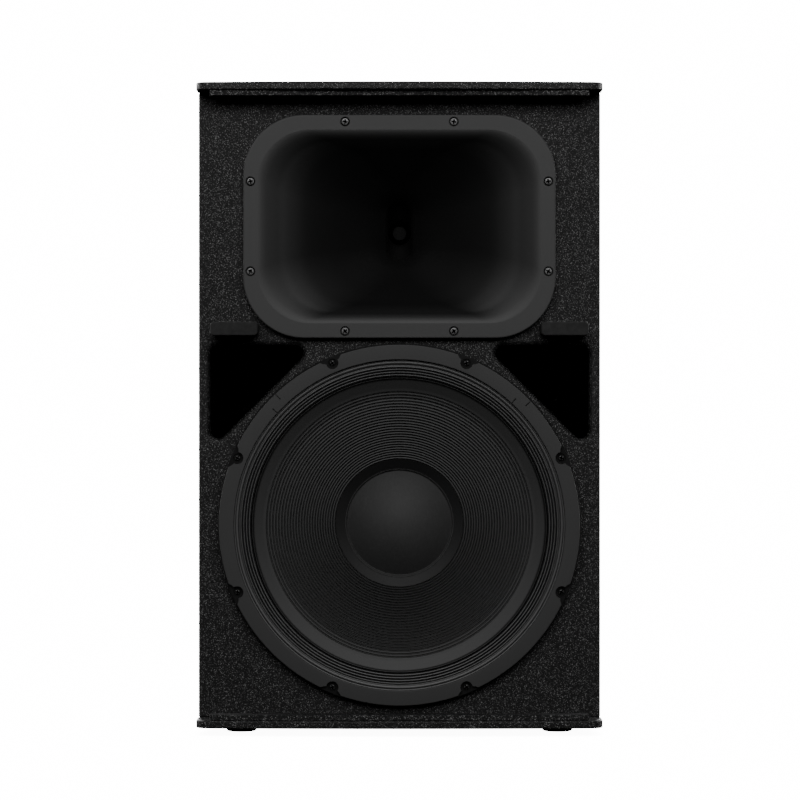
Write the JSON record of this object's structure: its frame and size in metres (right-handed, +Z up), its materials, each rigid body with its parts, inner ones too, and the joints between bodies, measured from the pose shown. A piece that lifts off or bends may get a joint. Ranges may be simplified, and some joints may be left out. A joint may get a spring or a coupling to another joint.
{
  "type": "pa speaker cabinet",
  "caption": "Two-way PA speaker cabinet with a constant-directivity horn above a cone woofer, triangular bass ports, rubber feet and a tapered plywood body.",
  "frame": {"origin": "centre of the base, on the floor", "axes": "+Z up, the drivers face -Y, +X is the cabinet's right side seen from the front"},
  "size_m": [0.432, 0.42, 0.693],
  "materials": {
    "painted_wood": "black textured paint with a fine speckle",
    "plywood": "bare birch plywood",
    "foam": "dense dark foam",
    "horn_plastic": "satin moulded plastic",
    "cast_frame": "black powder coat",
    "gasket": "matt black pressed fibre",
    "pleated_cloth": "doped pleated cloth",
    "cone_paper": "ribbed black pulp paper",
    "coil": "bare aluminium",
    "motor_steel": "zinc plated steel",
    "ferrite": "ground ferrite",
    "screw_steel": "black oxide",
    "driver_plastic": "moulded plastic",
    "terminal_steel": "black powder coat",
    "socket_plastic": "moulded plastic",
    "switch_metal": "bare aluminium",
    "foot_rubber": "matt black rubber",
    "pole_steel": "black powder coat",
    "handle_plastic": "textured moulded plastic",
    "circuit_board": "solder-masked glass-fibre board",
    "cable_jacket": "soft cable jacket"
  },
  "bodies": {
    "cabinet": {"top_panel": "painted_wood", "bottom_panel": "painted_wood", "left_side_panel": "painted_wood", "right_side_panel": "painted_wood", "rear_panel": "painted_wood", "front_baffle": "painted_wood", "top_grille_rail": "painted_wood", "bottom_grille_rail": "painted_wood", "left_port_duct": "plywood", "right_port_duct": "plywood", "cross_brace": "plywood", "left_grille_pad": "foam", "right_grille_pad": "foam", "horn_flare": "horn_plastic", "woofer_frame": "cast_frame", "woofer_gasket": "gasket", "woofer_surround": "pleated_cloth", "woofer_spider": "pleated_cloth", "woofer_top_plate": "motor_steel", "woofer_yoke": "motor_steel", "hf_back_plate": "motor_steel", "hf_top_plate": "motor_steel", "woofer_magnet": "ferrite", "hf_magnet": "ferrite", "woofer_screw_1": "screw_steel", "woofer_screw_2": "screw_steel", "woofer_screw_3": "screw_steel", "woofer_screw_4": "screw_steel", "woofer_screw_5": "screw_steel", "woofer_screw_6": "screw_steel", "woofer_screw_7": "screw_steel", "woofer_screw_8": "screw_steel", "horn_screw_1": "screw_steel", "horn_screw_2": "screw_steel", "horn_screw_3": "screw_steel", "horn_screw_4": "screw_steel", "horn_screw_5": "screw_steel", "horn_screw_6": "screw_steel", "horn_screw_7": "screw_steel", "horn_screw_8": "screw_steel", "hf_phase_plug": "driver_plastic", "hf_rear_cover": "driver_plastic", "terminal_plate": "terminal_steel", "speaker_socket_in": "socket_plastic", "speaker_socket_out": "socket_plastic", "mode_switch_housing": "socket_plastic", "front_left_foot": "foot_rubber", "front_right_foot": "foot_rubber", "rear_left_foot": "foot_rubber", "rear_right_foot": "foot_rubber", "pole_socket": "pole_steel", "left_handle": "handle_plastic", "right_handle": "handle_plastic", "crossover_board": "circuit_board", "wiring_loom": "cable_jacket"},
    "cone": {"woofer_cone": "cone_paper", "woofer_dust_cap": "cone_paper", "woofer_voice_coil": "coil"},
    "diaphragm": {"hf_diaphragm": "coil"},
    "mode_switch": {"mode_switch_slider": "switch_metal"}
  },
  "joints": [
    {"name": "cone_travel", "type": "slide", "parent": "cabinet", "child": "cone", "axis": [0, -1, 0], "range_m": [-0.008, 0.008], "stiffness_N_per_m": 5000, "deforming": ["woofer_surround", "woofer_spider"]},
    {"name": "diaphragm_travel", "type": "slide", "parent": "cabinet", "child": "diaphragm", "axis": [0, -1, 0], "range_m": [-0.0004, 0.0004], "stiffness_N_per_m": 20000},
    {"name": "mode_switch_slide", "type": "slide", "parent": "cabinet", "child": "mode_switch", "axis": [1, 0, 0], "range_m": [0, 0.006]}
  ]
}
